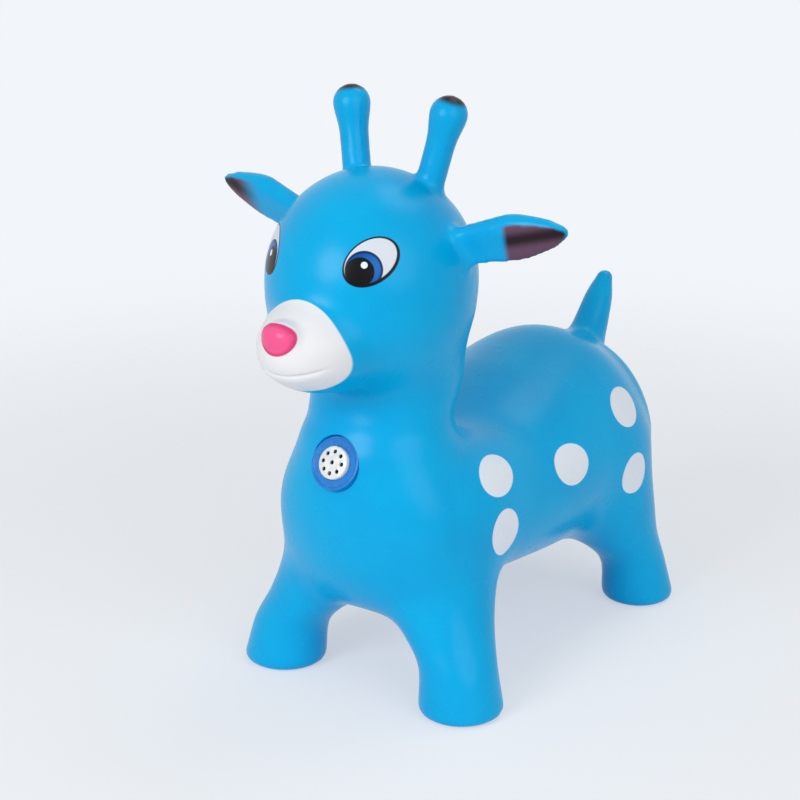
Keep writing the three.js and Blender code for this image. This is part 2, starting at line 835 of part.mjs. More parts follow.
piece("battery_terminal_positive", positiveTerminalSolid(), moduleFrame, 0xc8b273, 0.3, 1);
piece("battery_terminal_negative", negativeTerminalSolid(), moduleFrame, 0xc8b273, 0.3, 1);
bezelScrewSpots.forEach((spot, order) => {
  const screw = screwSolid(spot, flangeBack - fitGap, bezelProud - 2.4);
  piece(`bezel_screw_${order + 1}`, screw, moduleFrame, 0xa9adb3, 0.3, 1);
});
doorScrewSpots.forEach((spot, order) => {
  const screw = screwSolid(spot, doorScrewHead, bulkheadBack - 1.4);
  piece(`door_screw_${order + 1}`, screw, moduleFrame, 0xa9adb3, 0.3, 1);
});

// Stand the toy on the floor with its outline centred on the origin
const outline = new THREE.Box3().setFromObject(toy);
const shift = outline.getCenter(point(0, 0, 0)).negate();
shift.z = -outline.min.z;
for (const mesh of toy.children) {
  mesh.geometry.translate(shift.x, shift.y, shift.z);
}

export default toy;
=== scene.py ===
import json
import math

import bmesh
import bpy
import numpy as np
import openvdb
from mathutils import Matrix, Vector
from mathutils.bvhtree import BVHTree


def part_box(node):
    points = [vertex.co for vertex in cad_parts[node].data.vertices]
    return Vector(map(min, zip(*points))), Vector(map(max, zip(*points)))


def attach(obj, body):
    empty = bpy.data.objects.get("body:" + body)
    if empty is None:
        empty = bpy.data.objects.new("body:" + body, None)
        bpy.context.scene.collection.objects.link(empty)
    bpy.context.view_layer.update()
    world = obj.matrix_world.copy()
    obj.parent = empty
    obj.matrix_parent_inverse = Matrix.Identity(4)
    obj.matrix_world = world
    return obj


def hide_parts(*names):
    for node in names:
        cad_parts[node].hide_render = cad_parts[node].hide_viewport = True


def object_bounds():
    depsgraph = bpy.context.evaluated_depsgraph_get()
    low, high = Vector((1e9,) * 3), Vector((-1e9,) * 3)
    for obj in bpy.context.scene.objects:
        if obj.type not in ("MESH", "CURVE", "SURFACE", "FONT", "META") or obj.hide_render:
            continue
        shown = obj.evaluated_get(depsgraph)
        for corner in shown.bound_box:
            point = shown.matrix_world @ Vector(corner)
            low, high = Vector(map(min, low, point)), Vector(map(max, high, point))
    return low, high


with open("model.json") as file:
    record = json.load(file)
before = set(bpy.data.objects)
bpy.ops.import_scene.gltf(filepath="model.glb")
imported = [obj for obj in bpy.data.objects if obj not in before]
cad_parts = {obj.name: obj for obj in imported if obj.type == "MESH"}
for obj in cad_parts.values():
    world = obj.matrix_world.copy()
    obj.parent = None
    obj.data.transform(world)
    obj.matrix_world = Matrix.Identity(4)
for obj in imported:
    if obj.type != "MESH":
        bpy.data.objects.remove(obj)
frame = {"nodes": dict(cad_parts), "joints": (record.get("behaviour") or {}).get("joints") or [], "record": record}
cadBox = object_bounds()
mm = 0.001
scene = bpy.context.scene
fineness = {"sides": 120, "rings": 90, "domeRings": 14, "hornRings": 40, "least": 0.02}
print("frame loaded:", len(frame["nodes"]), "nodes")


def newObject(name, verts, faces):
    mesh = bpy.data.meshes.new(name)
    mesh.from_pydata([tuple(v) for v in verts], [], [tuple(f) for f in faces])
    mesh.update()
    obj = bpy.data.objects.new(name, mesh)
    scene.collection.objects.link(obj)
    return obj


def shadeSmooth(obj):
    obj.data.polygons.foreach_set("use_smooth", [True] * len(obj.data.polygons))


# curve through a few stations, the same way as the solids' limbs
def throughStations(stations, count):
    points = np.asarray(stations, float)
    before = 2 * points[0] - points[1]
    after = 2 * points[-1] - points[-2]
    padded = np.vstack([before, points, after])
    out = []
    for t in np.linspace(0, len(points) - 1, count):
        i = min(int(t), len(points) - 2)
        w = t - i
        p0, p1, p2, p3 = padded[i : i + 4]
        m1, m2 = 0.5 * (p2 - p0), 0.5 * (p3 - p1)
        a, b = 2 * w**3 - 3 * w**2 + 1, w**3 - 2 * w**2 + w
        c, d = -2 * w**3 + 3 * w**2, w**3 - w**2
        out.append(a * p1 + b * m1 + c * p2 + d * m2)
    return np.array(out)


# closed tube over elliptical rings; each ring is middle xyz and two half sizes
def tubeMesh(rings, across, along, poles):
    sides = fineness["sides"]
    turn = np.linspace(0, 2 * math.pi, sides, endpoint=False)
    across, along = np.asarray(across, float), np.asarray(along, float)
    verts = []
    for ring in rings:
        spread = np.outer(np.cos(turn) * ring[3], across)
        spread = spread + np.outer(np.sin(turn) * ring[4], along)
        verts.append(np.asarray(ring[:3]) + spread)
    verts = np.vstack(verts + [np.asarray(poles[0])[None], np.asarray(poles[1])[None]])
    tris = []
    for level in range(len(rings) - 1):
        for s in range(sides):
            n = (s + 1) % sides
            low, high = level * sides, (level + 1) * sides
            tris += [(low + s, low + n, high + n), (low + s, high + n, high + s)]
    start, end, top = len(verts) - 2, len(verts) - 1, (len(rings) - 1) * sides
    for s in range(sides):
        n = (s + 1) % sides
        tris += [(start, n, s), (end, top + s, top + n)]
    return verts * mm, np.array(tris)


# limb with rounded ends, or with a flat rounded sole at its start
def limbMesh(limb):
    stations = np.asarray(limb["stations"], float)
    rings = throughStations(stations, fineness["rings"])
    startDome, endDome = limb["domes"]
    startWay = stations[0][:3] - stations[1][:3]
    endWay = rings[-1][:3] - rings[-2][:3]
    startWay = np.asarray(limb.get("startWay", startWay / np.linalg.norm(startWay)), float)
    endWay = endWay / np.linalg.norm(endWay)
    first, last = [], []
    for turn in np.linspace(0, math.pi / 2, fineness["domeRings"])[1:]:
        share = max(math.cos(turn), fineness["least"])
        if limb.get("flatSole"):
            sizes = rings[0][3:] - startDome * (1 - math.cos(turn))
        else:
            sizes = rings[0][3:] * share
        first.append(np.r_[rings[0][:3] + startWay * startDome * math.sin(turn), sizes])
        last.append(np.r_[rings[-1][:3] + endWay * endDome * math.sin(turn), rings[-1][3:] * share])
    poles = (rings[0][:3] + startWay * startDome, rings[-1][:3] + endWay * endDome)
    return tubeMesh(first[::-1] + list(rings) + last, *limb["axes"], poles)


def ballMesh(middle, halves):
    x, y, z = middle
    wide, deep, high = halves
    turns = np.linspace(-math.pi / 2, math.pi / 2, fineness["rings"])[1:-1]
    rings = [(x, y, z + high * math.sin(t), wide * math.cos(t), deep * math.cos(t)) for t in turns]
    poles = ((x, y, z - high), (x, y, z + high))
    return tubeMesh(rings, (1, 0, 0), (0, 1, 0), poles)


# millimetres; y runs back from the chest line
# each station is (y, z, half width, half height or depth)
chestLine = -142.6

torso = {
    "axes": ((1, 0, 0), (0, 0, -1)),
    "stations": [
        (0, 170, 92, 93.8),
        (82.8, 158, 109, 77),
        (210.5, 166, 116, 98.5),
        (293.3, 173, 110, 106),
        (345, 172, 94.6, 90.8),
    ],
    "domes": (62, 46),
}

neck = {
    "axes": ((1, 0, 0), (0, 1, 0)),
    "stations": [
        (35, 173, 90, 88),
        (14, 237, 76, 70),
        (15, 267, 69, 61),
        (22, 302, 73, 66),
        (2, 364, 83.5, 88.5),
    ],
    "domes": (40, 50),
}

shoulder = {"middle": (54, 68, 187), "halves": (45, 72, 45)}
head = {"middle": (2, 394), "halves": (93.5, 98.5, 99)}
muzzle = {"middle": (-49, 353), "halves": (56, 90, 47)}
nose = {"middle": (-127, 370), "halves": (20, 14, 14)}

legs = {
    "footSpread": 102,
    "soleRounding": 7,
    "heights": (7, 43, 73, 112, 173),
    "rises": (0, 0.11, 0.42, 0.75, 1),
    "ankle": 2.5,
    "thigh": 5,
    "hipDome": 0.6,
    "front": {
        "foot": -2,
        "footRadius": 39,
        "calf": 4,
        "hip": 35,
        "hipSpread": 41,
        "hipRadius": 58,
    },
    "rear": {
        "foot": 326,
        "footRadius": 36,
        "calf": 8,
        "hip": 292,
        "hipSpread": 51,
        "hipRadius": 64,
    },
}

tail = {
    "root": (376, 235),
    "length": 89,
    "radius": 20,
    "tip": 8.5,
    "lean": 31,
    "taper": ((0, 1), (0.35, 0.88), (0.68, 0.7)),
    "rootDome": 0.8,
}

ear = {
    "root": (78, 14, 428.5),
    "length": 115,
    "halfWidth": 23.5,
    "halfThick": 13,
    "raise": 14.3,
    "sweep": 6,
    "frontFlat": 4,
    "frontDip": 26,
    "ridge": 6,
    "shares": ((0, 1, 0.72), (0.35, 1, 0.95), (0.58, 1, 1), (0.84, 0.75, 0.6)),
    "tip": (5, 5.5, 6.5),
    "domes": (8, 5),
    "softening": 7,
    "softFrom": 14,
    "softOver": 16,
    "softAbove": 400,
}

horn = {
    "root": (39, 34),
    "sunk": 2,
    "length": 65,
    "stem": 13,
    "knob": 17,
    "leanOut": 12,
    "leanBack": 9,
    "foot": ((-30, 1.5), (-6, 1), (6, 0)),
    "flare": ((30, 0), (18, 0.23), (9, 0.68), (0, 1)),
}

blending = {
    "voxel": 3.1,
    "band": 52,
    "margin": 20,
    "neck": 22,
    "shoulders": 46,
    "head": 24,
    "legs": 44,
    "muzzle": 20,
    "nose": 5,
    "tail": 32,
    "ears": 16,
    "horns": 10,
}


def trunkLimb(form):
    return {**form, "stations": [(0, chestLine + y, *rest) for y, *rest in form["stations"]]}


def swelling(form):
    y, z = form["middle"]
    return ballMesh((0, chestLine + y, z), form["halves"])


def legLimb(side, leg):
    foot, hip = leg["footRadius"], leg["hipRadius"]
    radii = (foot, foot - legs["ankle"], foot + leg["calf"], hip - legs["thigh"], hip)
    stations = []
    for z, rise, radius in zip(legs["heights"], legs["rises"], radii):
        spread = legs["footSpread"] + (leg["hipSpread"] - legs["footSpread"]) * rise
        y = chestLine + leg["foot"] + (leg["hip"] - leg["foot"]) * rise
        stations.append((side * spread, y, z, radius, radius))
    return {
        "axes": ((1, 0, 0), (0, 1, 0)),
        "stations": stations,
        "domes": (legs["soleRounding"], hip * legs["hipDome"]),
        "flatSole": True,
        "startWay": (0, 0, -1),
    }


def tailLimb():
    lean = math.radians(tail["lean"])
    way = np.array((0, math.sin(lean), math.cos(lean)))
    flat = (0, math.cos(lean), -math.sin(lean))
    root = np.array((0, chestLine + tail["root"][0], tail["root"][1]))
    length, r, tip = tail["length"], tail["radius"], tail["tip"]
    reaches = [(share * length, size * r) for share, size in tail["taper"]] + [(length - tip, tip)]
    stations = [(*(root + way * reach), radius, radius) for reach, radius in reaches]
    return {"axes": ((1, 0, 0), flat), "stations": stations, "domes": (tail["rootDome"] * r, tip)}


# the ear's own directions: along it, out of its front and up across it
def earFrame(side):
    lift, sweep = math.radians(ear["raise"]), math.radians(ear["sweep"])
    out = math.cos(lift)
    way = np.array((side * out * math.cos(sweep), out * math.sin(sweep), math.sin(lift)))
    front = np.array((0, -1, 0)) + way * way[1]
    front /= np.linalg.norm(front)
    root = np.array((side * ear["root"][0], chestLine + ear["root"][1], ear["root"][2]))
    return root, way, front, side * np.cross(front, way)


def earLimb(side):
    root, way, front, _ = earFrame(side)
    length, w, t = ear["length"], ear["halfWidth"], ear["halfThick"]
    tipBack, tipThick, tipBroad = ear["tip"]
    sizes = [(reach * length, thin * t, broad * w) for reach, thin, broad in ear["shares"]]
    sizes.append((length - tipBack, tipThick, tipBroad))
    stations = [(*(root + way * reach), thin, broad) for reach, thin, broad in sizes]
    return {"axes": (front, np.cross(way, front)), "stations": stations, "domes": ear["domes"]}


# plane of the ear's flat front, which leaves a ridge along its top
def earFront(side):
    root, _, front, up = earFrame(side)
    dip = math.radians(ear["frontDip"])
    normal = front * math.cos(dip) - up * math.sin(dip)
    return (root + normal * ear["frontFlat"]) * mm, normal


def hornPlace(side):
    across = horn["root"][0] / head["halves"][0]
    back = (horn["root"][1] - head["middle"][0]) / head["halves"][1]
    rise = head["halves"][2] * math.sqrt(1 - across**2 - back**2)
    height = head["middle"][1] + rise - horn["sunk"]
    turn = Matrix.Rotation(side * math.radians(horn["leanOut"]), 3, "Y")
    turn = turn @ Matrix.Rotation(-math.radians(horn["leanBack"]), 3, "X")
    return turn, np.array((side * horn["root"][0], chestLine + horn["root"][1], height)) * mm


# the knob's top and the way out of it there
def hornTip(side):
    turn, place = hornPlace(side)
    top = Vector((0, 0, horn["length"] + horn["knob"]))
    return Vector(place) + turn @ top * mm, turn @ Vector((0, 0, 1))


def hornMesh(side):
    stem, knob, length = horn["stem"], horn["knob"], horn["length"]
    shank = [(z, stem + wider) for z, wider in horn["foot"]]
    shank += [(length - below, stem + share * (knob - stem)) for below, share in horn["flare"]]
    profile = [tuple(p) for p in throughStations(shank, fineness["hornRings"])]
    turns = np.linspace(0, math.pi / 2, fineness["domeRings"])[1:-1]
    profile += [(length + knob * math.sin(t), knob * math.cos(t)) for t in turns]
    rings = [(0, 0, z, r, r) for z, r in profile]
    poles = ((0, 0, shank[0][0]), (0, 0, length + knob))
    verts, tris = tubeMesh(rings, (1, 0, 0), (0, 1, 0), poles)
    turn, place = hornPlace(side)
    return verts @ np.array(turn).T + place, tris


# one smooth skin: every swelling becomes a distance field, and the fields melt into each other
class SkinField:
    def __init__(self, voxel):
        self.voxel = voxel * mm
        margin = blending["margin"] * mm
        self.low = np.floor((np.array(cadBox[0]) - margin) / self.voxel).astype(int)
        high = np.ceil((np.array(cadBox[1]) + margin) / self.voxel).astype(int)
        self.shape = tuple(high - self.low + 1)
        self.transform = openvdb.createLinearTransform(voxelSize=self.voxel)
        self.values = None

    # the band is wider than any melt, so a far swelling never fattens another
    def distances(self, verts, tris):
        grid = openvdb.FloatGrid.createLevelSetFromPolygons(
            np.ascontiguousarray(verts, np.float32),
            triangles=np.ascontiguousarray(tris, np.uint32),
            transform=self.transform,
            halfWidth=blending["band"] * mm / self.voxel,
        )
        out = np.zeros(self.shape, np.float32)
        grid.copyToArray(out, ijk=tuple(int(i) for i in self.low))
        return out

    def flattened(self, field, point, normal, rounding):
        sizes = zip(self.shape, self.low, point)
        steps = [(np.arange(n) + low) * self.voxel - p for n, low, p in sizes]
        x, y, z = (step * way for step, way in zip(steps, normal))
        plane = x[:, None, None] + y[None, :, None] + z[None, None, :]
        k = rounding * mm
        near = np.clip(k - np.abs(field - plane), 0, None) / k
        return np.maximum(field, plane) + near**3 * (k / 6)

    def melt(self, field, reach):
        if self.values is None:
            self.values = field
            return
        k = reach * mm
        near = np.clip(k - np.abs(self.values - field), 0, None) / k
        self.values = np.minimum(self.values, field) - near**3 * (k / 6)

    def mesh(self):
        grid = openvdb.FloatGrid(float(self.values.max()))
        grid.transform = self.transform
        grid.copyFromArray(self.values, ijk=tuple(int(i) for i in self.low))
        points, quads = grid.convertToQuads(0.0)
        return np.array(points, float), np.array(quads)


# evens out the grid's grain without shrinking the form
def relaxed(points, quads, rounds=20, pull=0.5, back=0.52):
    edges = np.vstack([quads[:, pair] for pair in ([0, 1], [1, 2], [2, 3], [3, 0])])
    count = np.bincount(edges.ravel(), minlength=len(points)).astype(float)[:, None]
    for step in range(rounds * 2):
        total = np.empty_like(points)
        for axis in range(3):
            ends = points[edges[:, ::-1], axis]
            total[:, axis] = np.bincount(edges.ravel(), ends.ravel(), len(points))
        weight = pull if step % 2 == 0 else -back
        points = points + weight * (total / count - points)
    return points


def skinPiece():
    field = SkinField(blending["voxel"])
    field.melt(field.distances(*limbMesh(trunkLimb(torso))), blending["legs"])
    field.melt(field.distances(*limbMesh(trunkLimb(neck))), blending["neck"])
    for side in (-1, 1):
        x, y, z = shoulder["middle"]
        swell = ballMesh((side * x, chestLine + y, z), shoulder["halves"])
        field.melt(field.distances(*swell), blending["shoulders"])
    field.melt(field.distances(*swelling(head)), blending["head"])
    for side in (-1, 1):
        for leg in ("front", "rear"):
            field.melt(field.distances(*limbMesh(legLimb(side, legs[leg]))), blending["legs"])
    field.melt(field.distances(*swelling(muzzle)), blending["muzzle"])
    field.melt(field.distances(*swelling(nose)), blending["nose"])
    field.melt(field.distances(*limbMesh(tailLimb())), blending["tail"])
    for side in (-1, 1):
        leaf = field.distances(*limbMesh(earLimb(side)))
        field.melt(field.flattened(leaf, *earFront(side), ear["ridge"]), blending["ears"])
        field.melt(field.distances(*hornMesh(side)), blending["horns"])
    points, quads = field.mesh()
    points = relaxed(points, quads)
    past = np.abs(points[:, :1]) / mm - ear["root"][0] - ear["softFrom"]
    onEar = np.clip(past / ear["softOver"], 0, 1) * (points[:, 2:] > ear["softAbove"] * mm)
    points += onEar * (relaxed(points, quads, ear["softening"], back=0) - points)
    obj = newObject("vinylSkin", points, quads)
    shadeSmooth(obj)
    print("skin:", len(points), "points")
    return obj


vinylSkin = skinPiece()

mouth = {
    "height": 337,
    "curl": 0.0054,
    "halfWidth": 36,
    "fadeOver": 2,
    "depth": 1.4,
    "groove": 1.4,
    "lip": 0.5,
    "lipBelow": 5,
    "lipSpread": 3.5,
    "fineTo": (46, 325, 354),
    "margin": 4,
    "inFrontOf": -215,
}


# pressed line of the mouth, on a finer piece of the mesh
def mouthLine(obj):
    wide, low, high = mouth["fineTo"]
    front, margin = mouth["inFrontOf"], mouth["margin"]

    def isNear(v):
        x, y, z = v.co
        return y < front * mm and abs(x) < wide * mm and low * mm < z < high * mm

    work = bmesh.new()
    work.from_mesh(obj.data)
    fine = [e for e in work.edges if all(isNear(v) for v in e.verts)]
    bmesh.ops.subdivide_edges(work, edges=fine, cuts=2, use_grid_fill=True)
    work.normal_update()
    moves = []
    for v in work.verts:
        x, y, z = v.co / mm
        if y > front or abs(x) > wide or not low - margin < z < high + margin:
            continue
        above = z - mouth["height"] - mouth["curl"] * x * x
        ends = 1 / (1 + math.exp((abs(x) - mouth["halfWidth"]) / mouth["fadeOver"]))
        groove = mouth["depth"] * math.exp(-((above / mouth["groove"]) ** 2))
        lip = mouth["lip"] * math.exp(-(((above + mouth["lipBelow"]) / mouth["lipSpread"]) ** 2))
        moves.append((v, v.normal * ends * (lip - groove) * mm))
    for v, move in moves:
        v.co += move
    work.to_mesh(obj.data)
    work.free()
    shadeSmooth(obj)
    print("mouth pressed in:", len(obj.data.polygons), "faces")


mouthLine(vinylSkin)


# the sound module's axis: level 0 lies on the chest's skin, +z points out of it
module = {
    "boardBelow": 15.6,
    "shelf": (25.3, -5),
    "pocket": (18.5, -29.6),
    "screwHeads": (2.1, 20.4, -6.8),
    "screwTurns": (30, 150, 270),
    "toolTop": 30,
}
valve = {"headBelow": 2.7, "headSeat": 9.3, "bore": (5.3, -21)}


def modulePlace():
    press = next(j for j in frame["joints"] if j["name"] == "button_press")
    out = -Vector(press["axis"]).normalized()
    up = out.cross(Vector((1, 0, 0)))
    low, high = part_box("circuit_board")
    spot = (low + high) / 2 + out * module["boardBelow"] * mm
    turn = Matrix((Vector((1, 0, 0)), up, out)).transposed()
    return Matrix.Translation(spot) @ turn.to_4x4()


def valvePlace():
    low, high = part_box("air_plug")
    spot = (low + high) / 2
    spot.z = low.z + valve["headBelow"] * mm
    return Matrix.Translation(spot) @ Matrix.Rotation(math.pi, 4, "X")


# outline of (radius, height, fillet) corners with every fillet drawn as an arc
def filleted(corners, steps=6):
    out = []
    count = len(corners)
    for i, (r, z, fillet) in enumerate(corners):
        here = np.array((r, z), float)
        if not fillet:
            out.append(here)
            continue
        before = np.array(corners[i - 1][:2], float) - here
        after = np.array(corners[(i + 1) % count][:2], float) - here
        before /= np.linalg.norm(before)
        after /= np.linalg.norm(after)
        half = math.acos(np.clip(before @ after, -1, 1)) / 2
        middle = here + (before + after) / np.linalg.norm(before + after) * fillet / math.sin(half)
        start = here + before * fillet / math.tan(half) - middle
        end = here + after * fillet / math.tan(half) - middle
        sweep = math.pi - 2 * half
        for t in np.linspace(0, 1, steps):
            a, b = math.sin((1 - t) * sweep), math.sin(t * sweep)
            out.append(middle + (a * start + b * end) / math.sin(sweep))
    return out


# turned body about its own axis, from an outline that is a closed loop or runs from axis to axis
def turnedObject(name, outline, place, sides=96):
    verts, rows = [], []
    for r, z in outline:
        if r < 1e-6:
            rows.append([len(verts)])
            verts.append((0, 0, z * mm))
            continue
        rows.append(list(range(len(verts), len(verts) + sides)))
        for s in range(sides):
            turn = 2 * math.pi * s / sides
            verts.append((r * mm * math.cos(turn), r * mm * math.sin(turn), z * mm))
    faces = []
    pairs = list(zip(rows, rows[1:]))
    if len(rows[0]) > 1:
        pairs.append((rows[-1], rows[0]))
    for low, high in pairs:
        if len(low) == len(high) == 1:
            continue
        for s in range(sides):
            n = (s + 1) % sides
            ring = [low[s % len(low)], low[n % len(low)], high[n % len(high)], high[s % len(high)]]
            faces.append(list(dict.fromkeys(ring)))
    obj = newObject(name, verts, faces)
    obj.data.transform(place)
    outwards(obj)
    return obj


def outwards(obj):
    work = bmesh.new()
    work.from_mesh(obj.data)
    bmesh.ops.recalc_face_normals(work, faces=work.faces)
    work.to_mesh(obj.data)
    work.free()


def cutBy(obj, tool, operation="DIFFERENCE"):
    cut = obj.modifiers.new("cut", "BOOLEAN")
    cut.operation = operation
    cut.solver = "EXACT"
    cut.object = tool
    settle(obj)
    bpy.data.objects.remove(tool)


# turns the evaluated result into the object's own plain mesh
def settle(obj):
    bpy.context.view_layer.update()
    shaped = obj.evaluated_get(bpy.context.evaluated_depsgraph_get())
    mesh = bpy.data.meshes.new_from_object(shaped)
    obj.modifiers.clear()
    old = obj.data
    obj.data = mesh
    bpy.data.meshes.remove(old)


def smoothBy(obj, degrees):
    shadeSmooth(obj)
    obj.data.set_sharp_from_angle(angle=math.radians(degrees))


def seatInSkin(skin):
    shelf, pocket, top = module["shelf"], module["pocket"], module["toolTop"]
    outline = [(0, pocket[1]), pocket, (pocket[0], shelf[1]), shelf, (shelf[0], top), (0, top)]
    cutBy(skin, turnedObject("recessTool", outline, modulePlace()))
    radius, reach, back = module["screwHeads"]
    outline = [(0, back), (radius, back), (radius, 0), (0, 0)]
    for turn in module["screwTurns"]:
        place = modulePlace() @ Matrix.Rotation(math.radians(turn), 4, "Z")
        place = place @ Matrix.Translation((reach * mm, 0, 0))
        cutBy(skin, turnedObject("headTool", outline, place, sides=24))
    bore, seat = valve["bore"], valve["headSeat"]
    outline = [(0, bore[1]), bore, (bore[0], 0), (seat, 0), (seat, top), (0, top)]
    cutBy(skin, turnedObject("boreTool", outline, valvePlace(), sides=48))
    smoothBy(skin, degrees=50)
    print("recess and valve cut:", len(skin.data.polygons), "faces")


seatInSkin(vinylSkin)

bezel = {
    "outer": 25,
    "hole": 15.5,
    "rim": 2,
    "face": 1.3,
    "rimWidth": 2.2,
    "skirtInner": 22.9,
    "back": -2.4,
    "skirtBack": -4.7,
    "slope": 0.9,
    "skirtFillet": 0.3,
    "outerFillet": 0.9,
    "rimFillet": 0.5,
    "faceFillet": 0.6,
}


def bezelPiece():
    b = bezel
    rimInner = b["outer"] - b["rimWidth"]
    corners = [
        (b["hole"], b["back"], 0),
        (b["skirtInner"], b["back"], 0),
        (b["skirtInner"], b["skirtBack"], 0),
        (b["outer"], b["skirtBack"], b["skirtFillet"]),
        (b["outer"], b["rim"], b["outerFillet"]),
        (rimInner, b["rim"], b["rimFillet"]),
        (rimInner - b["slope"], b["face"], b["faceFillet"]),
        (b["hole"], b["face"], b["faceFillet"]),
    ]
    obj = turnedObject("moduleRing", filleted(corners), modulePlace())
    smoothBy(obj, degrees=40)
    return obj


button = {
    "radius": 15.2,
    "wall": 1.4,
    "crown": 6.2,
    "shoulder": 5,
    "edge": 1.5,
    "lip": (16.4, -2.7, -4.2),
    "finger": (14, 2.2, 3.6, -8.3),
    "holes": 8,
    "holeRadius": 2,
    "holeRing": 10,
    "domeOut": (0, 0.85, 12),
    "domeIn": (0.9, 0, 8),
    "skirtFillet": 0.2,
    "lipFillet": 0.3,
    "innerFillet": 0.8,
    "drillSides": 28,
    "drillDepth": 20,
    "drillRaise": 12,
}


def buttonOutline():
    r, wall, crown, brim = (button[key] for key in ("radius", "wall", "crown", "shoulder"))
    wide, lipTop, lipBack = button["lip"]
    rise = crown - brim
    inside = r - wall
    ball = (r * r + rise**2) / (2 * rise)
    shares = np.linspace(*button["domeOut"])
    domeOut = [(r * t, crown - ball + math.sqrt(ball * ball - (r * t) ** 2)) for t in shares]
    shares = np.linspace(*button["domeIn"])
    domeIn = [(inside * t, crown - wall - rise * t * t) for t in shares]
    skirt = [
        (r, brim, button["edge"]),
        (r, lipTop, button["skirtFillet"]),
        (wide, lipTop, button["lipFillet"]),
        (wide, lipBack, button["lipFillet"]),
        (inside, lipBack, button["skirtFillet"]),
        (inside, brim - wall, button["innerFillet"]),
    ]
    corners = [(*domeOut[-1], 0), *skirt, (*domeIn[0], 0)]
    return domeOut[:-1] + [tuple(p) for p in filleted(corners)] + domeIn[1:]


# perforations: cylinders on a ring of points and one in the middle
def perforationTree(finish):
    tree = bpy.data.node_groups.new("grillePerforations", "GeometryNodeTree")
    face = tree.interface
    wanted = {"holes": "NodeSocketInt", "ring": "NodeSocketFloat", "radius": "NodeSocketFloat"}
    sockets = {
        name: face.new_socket(name=name, in_out="INPUT", socket_type=kind)
        for name, kind in wanted.items()
    }
    face.new_socket(name="Geometry", in_out="OUTPUT", socket_type="NodeSocketGeometry")
    nodes, links = tree.nodes, tree.links
    given, done = nodes.new("NodeGroupInput"), nodes.new("NodeGroupOutput")
    ring = nodes.new("GeometryNodeMeshCircle")
    links.new(given.outputs["holes"], ring.inputs["Vertices"])
    links.new(given.outputs["ring"], ring.inputs["Radius"])
    middle = nodes.new("GeometryNodeMeshCircle")
    middle.inputs["Vertices"].default_value = 3
    middle.inputs["Radius"].default_value = 0
    merged = nodes.new("GeometryNodeMergeByDistance")
    links.new(middle.outputs["Mesh"], merged.inputs["Geometry"])
    spots = nodes.new("GeometryNodeJoinGeometry")
    links.new(ring.outputs["Mesh"], spots.inputs["Geometry"])
    links.new(merged.outputs["Geometry"], spots.inputs["Geometry"])
    drill = nodes.new("GeometryNodeMeshCylinder")
    drill.inputs["Vertices"].default_value = button["drillSides"]
    drill.inputs["Depth"].default_value = button["drillDepth"] * mm
    links.new(given.outputs["radius"], drill.inputs["Radius"])
    placed = nodes.new("GeometryNodeInstanceOnPoints")
    links.new(spots.outputs["Geometry"], placed.inputs["Points"])
    links.new(drill.outputs["Mesh"], placed.inputs["Instance"])
    real = nodes.new("GeometryNodeRealizeInstances")
    links.new(placed.outputs["Instances"], real.inputs["Geometry"])
    painted = nodes.new("GeometryNodeSetMaterial")
    painted.inputs["Material"].default_value = finish
    links.new(real.outputs["Geometry"], painted.inputs["Geometry"])
    links.new(painted.outputs["Geometry"], done.inputs["Geometry"])
    return tree, {n: s.identifier for n, s in sockets.items()}


def perforations(finish):
    obj = newObject("perforations", [], [])
    tree, idents = perforationTree(finish)
    drill = obj.modifiers.new("perforations", "NODES")
    drill.node_group = tree
    drill[idents["holes"]] = button["holes"]
    drill[idents["ring"]] = button["holeRing"] * mm
    drill[idents["radius"]] = button["holeRadius"] * mm
    settle(obj)
    obj.data.transform(modulePlace() @ Matrix.Translation((0, 0, button["drillRaise"] * mm)))
    return obj


def fingerTool():
    reach, thick, wide, tip = button["finger"]
    top = button["lip"][1]
    work = bmesh.new()
    size = Matrix.Diagonal((thick * mm, wide * mm, (top - tip) * mm, 1))
    spot = Matrix.Translation((reach * mm, 0, (top + tip) / 2 * mm))
    bmesh.ops.create_cube(work, size=1, matrix=modulePlace() @ spot @ size)
    mesh = bpy.data.meshes.new("finger")
    work.to_mesh(mesh)
    work.free()
    obj = bpy.data.objects.new("finger", mesh)
    scene.collection.objects.link(obj)
    return obj


def buttonPiece(finish):
    obj = turnedObject("pressButton", buttonOutline(), modulePlace())
    obj.data.materials.append(finish)
    cutBy(obj, perforations(finish))
    cutBy(obj, fingerTool(), "UNION")
    smoothBy(obj, degrees=35)
    return obj


plug = {
    "stem": 5,
    "tip": 4.6,
    "length": 20,
    "head": 9,
    "gap": 0.3,
    "thick": 2.4,
    "dimple": 3,
    "dimpleDepth": 0.9,
    "dimpleSlope": 0.6,
    "tipFillet": 1.2,
    "stemFillet": 0.3,
    "underFillet": 0.5,
    "headFillet": 1,
    "dimpleFillet": 0.4,
}


def plugPiece():
    top = plug["gap"] + plug["thick"]
    dimpleFloor = top - plug["dimpleDepth"]
    corners = [
        (0, -plug["length"], 0),
        (plug["tip"], -plug["length"], plug["tipFillet"]),
        (plug["stem"], plug["gap"], plug["stemFillet"]),
        (plug["head"], plug["gap"], plug["underFillet"]),
        (plug["head"], top, plug["headFillet"]),
        (plug["dimple"], top, plug["dimpleFillet"]),
        (plug["dimple"] - plug["dimpleSlope"], dimpleFloor, plug["dimpleFillet"]),
        (0, dimpleFloor, 0),
    ]
    obj = turnedObject("airStopper", filleted(corners), valvePlace(), sides=64)
    smoothBy(obj, degrees=40)
    return obj


# colours are written as they look on a screen, 0 to 255
def colour(r, g, b):
    shares = (r / 255, g / 255, b / 255)
    linear = [c / 12.92 if c <= 0.04045 else ((c + 0.055) / 1.055) ** 2.4 for c in shares]
    return (*linear, 1)


